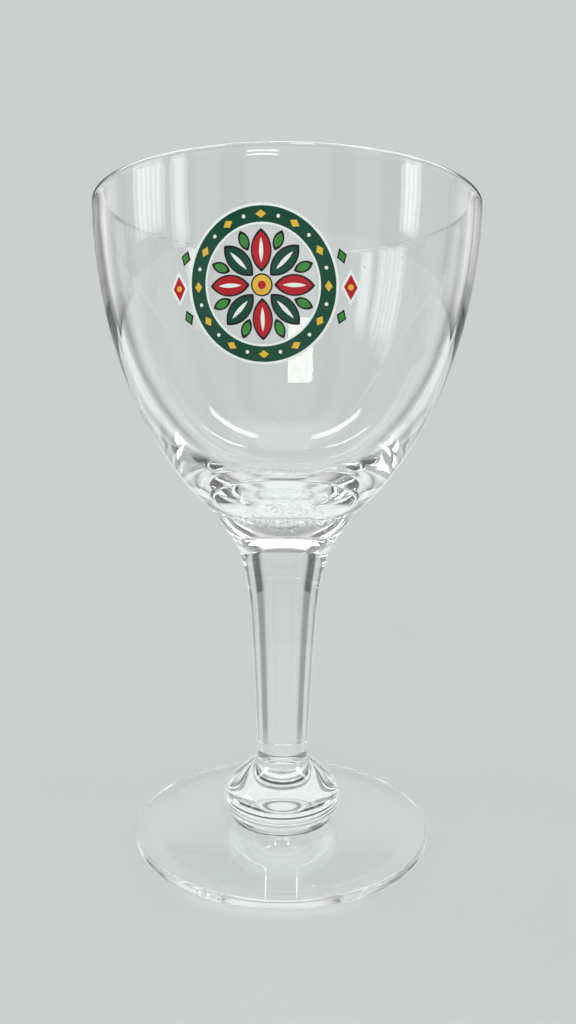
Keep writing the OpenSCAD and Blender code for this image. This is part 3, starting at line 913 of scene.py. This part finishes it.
def label_mesh():
    """Paper on the outside of the bowl's back, with a frayed torn edge that lifts a little."""
    dice = random.Random(FRAY_SEED)
    work = bmesh.new()
    grid = []
    for j in range(LABEL_ROWS + 1):
        up = j / LABEL_ROWS
        width = LABEL_W * torn_edge(up) + dice.uniform(-FRAY, FRAY)
        line = []
        for i in range(LABEL_COLUMNS + 1):
            across = i / LABEL_COLUMNS
            x, z = LABEL_X + width * across, LABEL_TOP - LABEL_H * (1 - up)
            r = bowl_r(z) + LIFT * across ** LIFT_POWER * (0.5 + 0.5 * math.sin(LIFT_WAVE * up))
            line.append(work.verts.new((x, math.sqrt(r * r - x * x), z)))
        grid.append(line)
    for low, high in zip(grid, grid[1:]):
        for a, b, c, d in zip(low, low[1:], high[1:], high):
            work.faces.new((b, a, d, c))
    work.normal_update()
    back = {v: work.verts.new(v.co + v.normal * GLUE_T) for v in list(work.verts)}
    front = list(work.faces)
    for face in front:
        work.faces.new([back[v] for v in reversed(face.verts)])
    for edge in [e for e in work.edges if len(e.link_faces) == 1 and e.verts[0] in back]:
        a, b = (loop.vert for loop in (edge.link_loops[0], edge.link_loops[0].link_loop_next))
        work.faces.new((b, a, back[a], back[b]))
    for v in back:
        v.co += v.normal * LABEL_T
    for face in work.faces:
        face.smooth = True
    mesh = bpy.data.meshes.new("label")
    work.to_mesh(mesh)
    work.free()
    mesh.materials.append(PAPER)
    return mesh


piece("torn_label", [label_mesh()], ["paper_label"])


# Studio


def make_dark_bands():
    """Upright bands all round the set that draw the edges of clear glass, two in each quarter turn."""
    tree, given, out = new_tree(
        "dark_bands", "ShaderNodeTree", {"Way": ("Vector", None)}, {"Dark": "Float"})
    way = add(tree, "ShaderNodeSeparateXYZ", {0: given["Way"]}).outputs
    turn = calc(tree, "DEGREES", calc(tree, "ARCTAN2", way[0], way[1]))
    turn = calc(tree, "SUBTRACT", calc(tree, "WRAP", turn, 90.0, 0.0), 45.0)
    off = calc(tree, "ABSOLUTE", calc(tree, "SUBTRACT", calc(tree, "ABSOLUTE", turn), BAND_WAY))
    tree.links.new(ranged(tree, off, BAND_CORE, BAND_HALF, 1.0, 0.0, "SMOOTHSTEP"), out["Dark"])
    return tree


def seen_by_glass(tree):
    """1 for a ray that leaves the glass towards the set, and 0 after it has met a dull surface."""
    path = add(tree, "ShaderNodeLightPath").outputs
    clear = calc(tree, "MAXIMUM", path["Is Glossy Ray"], path["Is Transmission Ray"])
    return calc(tree, "MULTIPLY", clear, calc(tree, "LESS_THAN", path["Diffuse Depth"], 0.5))


def darkened(tree, dark, mirror_dark):
    """The pale tone, darkened by a share for what the glass sees only. What it mirrors differs by a
    share of its own: the sides of a room are dimmer than its lit backdrop, and a table is brighter."""
    mirrored = calc(tree, "GREATER_THAN", add(tree, "ShaderNodeLightPath").outputs["Glossy Depth"], 0.5)
    dark = calc(tree, "ADD", dark, calc(tree, "MULTIPLY", mirrored, mirror_dark))
    dark = calc(tree, "MINIMUM", dark, CEILING_DARK)
    light = calc(tree, "SUBTRACT", 1.0, calc(tree, "MULTIPLY", dark, seen_by_glass(tree)))
    return add(tree, "ShaderNodeVectorMath", {0: PALE, "Scale": light}, operation="SCALE").outputs[0]


def studio_floor():
    """Pale floor that runs out into the pale world around it and keeps the glass's shadow."""
    mesh = bpy.data.meshes.new("studio_floor")
    corners = [(x * FLOOR_HALF, y * FLOOR_HALF) for x, y in ((-1, -1), (1, -1), (1, 1), (-1, 1))]
    mesh.from_pydata([(x, y, -FLOOR_DROP) for x, y in corners], [], [(0, 1, 2, 3)])
    made = link(bpy.data.objects.new("studio_floor", mesh))
    material, tree, shader = new_material("floor_card")
    shader.inputs["Roughness"].default_value = 0.9
    shader.inputs["Specular IOR Level"].default_value = 0.0
    place = add(tree, "ShaderNodeTexCoord").outputs["Object"]
    far = add(tree, "ShaderNodeVectorMath", {0: place}, operation="LENGTH").outputs["Value"]
    band = add(tree, "ShaderNodeGroup", {"Way": place}, node_tree=dark_bands).outputs[0]
    band = calc(tree, "MULTIPLY", band, ranged(tree, far, *FLOOR_BAND_FADE, 0.0, FLOOR_BAND))
    tone = darkened(tree, band, -TABLE_GLOW)
    tree.links.new(tone, shader.inputs["Base Color"])
    fade = ranged(tree, far, GLOW_NEAR, GLOW_FAR, FLOOR_GLOW, 1.0, "SMOOTHSTEP")
    glow = add(tree, "ShaderNodeEmission", {"Color": tone, "Strength": 1.0})
    mix = add(tree, "ShaderNodeMixShader", {0: fade, 1: shader.outputs[0], 2: glow.outputs[0]})
    tree.links.new(mix.outputs[0], tree.nodes["Material Output"].inputs["Surface"])
    mesh.materials.append(material)


def studio_world():
    """Pale room as the camera and the glass see it, and soft fill for lit surfaces."""
    world = bpy.data.worlds.new("studio")
    bpy.context.scene.world = world
    world.use_nodes = True
    tree = world.node_tree
    room = tree.nodes["Background"]
    way = add(tree, "ShaderNodeTexCoord").outputs["Generated"]
    axes = add(tree, "ShaderNodeSeparateXYZ", {0: way}).outputs
    band = add(tree, "ShaderNodeGroup", {"Way": way}, node_tree=dark_bands).outputs[0]
    band = calc(tree, "MULTIPLY", band, ranged(tree, axes[2], *ROOM_BAND_FADE, ROOM_BAND, 0.0))
    ceiling = ranged(tree, axes[2], *CEILING_FADE, 0.0, CEILING_DARK)
    tree.links.new(darkened(tree, calc(tree, "MAXIMUM", band, ceiling), MIRROR_DARK), room.inputs["Color"])
    frontal = calc(tree, "MAXIMUM", calc(tree, "MULTIPLY", axes[1], -FRONT_GAIN), 0.0)
    strength = calc(tree, "MULTIPLY_ADD", frontal, FILL, FILL)
    through = add(tree, "ShaderNodeLightPath").outputs["Is Transmission Ray"]
    strength = calc(tree, "MULTIPLY", strength, calc(tree, "MULTIPLY_ADD", through, THROUGH_GAIN, 1.0))
    fill = add(tree, "ShaderNodeBackground", {"Color": (1, 1, 1, 1), "Strength": strength})
    camera = add(tree, "ShaderNodeLightPath").outputs["Is Camera Ray"]
    seen = calc(tree, "MAXIMUM", camera, seen_by_glass(tree))
    mix = add(tree, "ShaderNodeMixShader", {0: seen, 1: fill.outputs[0], 2: room.outputs[0]})
    tree.links.new(mix.outputs[0], tree.nodes["World Output"].inputs["Surface"])


def softbox(name, place, size, strength, target=(0, 0, 0.1), panes=1, soft=8.0, colour=(1, 1, 1),
            shine=1.0, faces="all", roll=0.0):
    """Light panel with soft edges, divided into upright panes and turned in its own plane by roll, in
    degrees. The camera doesn't see it, and in the glass it shows by reflection only, so that the view
    straight through the glass stays pale. Its shine says how bright it is there against the light that
    it gives. Either all faces of the glass show it, or only the first that is met, or only those
    behind the first."""
    w, h = size[0] / 2, size[1] / 2
    mesh = bpy.data.meshes.new(name)
    mesh.from_pydata([(-w, -h, 0), (w, -h, 0), (w, h, 0), (-w, h, 0)], [], [(3, 2, 1, 0)])
    made = link(bpy.data.objects.new(name, mesh))
    look = Vector(target) - Vector(place)
    turn = look.to_track_quat("-Z", "Y").to_matrix().to_4x4()
    made.matrix_world = Matrix.Translation(place) @ turn @ Matrix.Rotation(math.radians(roll), 4, "Z")
    made.visible_camera = False
    material = bpy.data.materials.new(name)
    material.use_nodes = True
    tree = material.node_tree
    spot = add(tree, "ShaderNodeTexCoord").outputs["Object"]
    spot = add(tree, "ShaderNodeSeparateXYZ", {0: spot}).outputs
    across = calc(tree, "MULTIPLY_ADD", spot[0], panes / size[0], panes / 2)
    across = calc(tree, "MULTIPLY_ADD", calc(tree, "FRACT", across), 2.0, -1.0)
    upright = calc(tree, "DIVIDE", spot[1], h)
    edges = [calc(tree, "SUBTRACT", 1.0, calc(tree, "POWER", calc(tree, "ABSOLUTE", v), soft))
             for v in (across, upright)]
    power = calc(tree, "MULTIPLY", calc(tree, "MULTIPLY", edges[0], edges[1]), strength)
    power = calc(tree, "MULTIPLY", power, calc(tree, "MULTIPLY_ADD", seen_by_glass(tree), shine - 1.0, 1.0))
    glow = add(tree, "ShaderNodeEmission", {"Color": (*colour, 1), "Strength": power})
    path = add(tree, "ShaderNodeLightPath").outputs
    met = calc(tree, "ADD", path["Glossy Depth"], path["Diffuse Depth"])
    hidden = calc(tree, "MULTIPLY", path["Is Transmission Ray"], calc(tree, "LESS_THAN", met, 0.5))
    behind = calc(tree, "GREATER_THAN", path["Transmission Depth"], 0.5)
    if faces == "first":
        hidden = calc(tree, "MAXIMUM", hidden, behind)
    elif faces == "behind":
        first = calc(tree, "MULTIPLY", path["Is Glossy Ray"], calc(tree, "SUBTRACT", 1.0, behind))
        hidden = calc(tree, "MAXIMUM", hidden, first)
    clear = add(tree, "ShaderNodeBsdfTransparent")
    mix = add(tree, "ShaderNodeMixShader", {0: hidden, 1: glow.outputs[0], 2: clear.outputs[0]})
    tree.links.new(mix.outputs[0], tree.nodes["Material Output"].inputs["Surface"])
    mesh.materials.append(material)


def hung(name, x, y, size, strength, **look):
    """Light panel under the ceiling that shines straight down."""
    softbox(name, (x, y, TUBE_Z), size, strength, target=(x, y, 0), **look)


def studio_camera():
    """Camera of the photograph, which stands close and looks slightly down."""
    lens = bpy.data.cameras.new("camera")
    lens.sensor_fit = "AUTO"
    lens.sensor_width = 36
    lens.lens = LENS
    lens.clip_start = 0.01
    made = link(bpy.data.objects.new("camera", lens))
    tilt = Matrix.Rotation(math.radians(90 - CAMERA_DIP), 4, "X")
    made.matrix_world = Matrix.Translation(CAMERA_PLACE) @ tilt @ Matrix.Rotation(CAMERA_ROLL, 4, "Z")
    bpy.context.scene.camera = made


dark_bands = make_dark_bands()
studio_floor()
studio_world()
studio_camera()
softbox("window_left", (-0.99, -0.15, 0.44), (0.39, 0.5), 3.0, panes=3, colour=DAYLIGHT)
softbox("window_left_near", (-0.87, -0.5, 0.39), (0.17, 0.58), 3.0, colour=DAYLIGHT)
softbox("window_right", (0.95, -0.33, 0.4), (0.2, 0.46), 4.0, panes=2, colour=DAYLIGHT)
for side, sign in SIDES:
    softbox("wall_" + side, (sign * 0.95, 0.6, 0.3), (0.7, 0.5), 0.9, soft=4.0)
for side, sign in SIDES:
    hung("tube_" + side, sign * 0.62, 0.14, (0.74, 0.11), 5.0, shine=1.8, roll=sign * 17.0)
for side, sign in SIDES:
    hung("tube_far_" + side, sign * 0.68, 0.72, (0.85, 0.06), 9.0, roll=sign * 43.0)
softbox("overhead", (0.0, 0.0, 1.15), (1.5, 0.7), 1.15, soft=3.0, shine=1.5)
softbox("rim_light", (0.0, 0.75, 1.15), (2.6, 0.44), 0.15, soft=4.0, shine=36.0, faces="first")
softbox("strip_high", (-0.44, -1.9, 0.765), (0.6, 0.024), 12.0, faces="first")
softbox("strip_low", (-0.44, -1.9, 0.73), (0.6, 0.014), 12.0, faces="first")
softbox("back_fill", (0.1, 1.1, 0.45), (2.2, 0.5), 2.4, soft=3.0, shine=0.37, faces="behind")

cycles = bpy.context.scene.cycles
cycles.max_bounces = cycles.transmission_bounces = cycles.glossy_bounces = GLASS_BOUNCES
cycles.transparent_max_bounces = CLEAR_LAYERS
cycles.blur_glossy = 0.0
bpy.context.scene.view_settings.view_transform = "Standard"
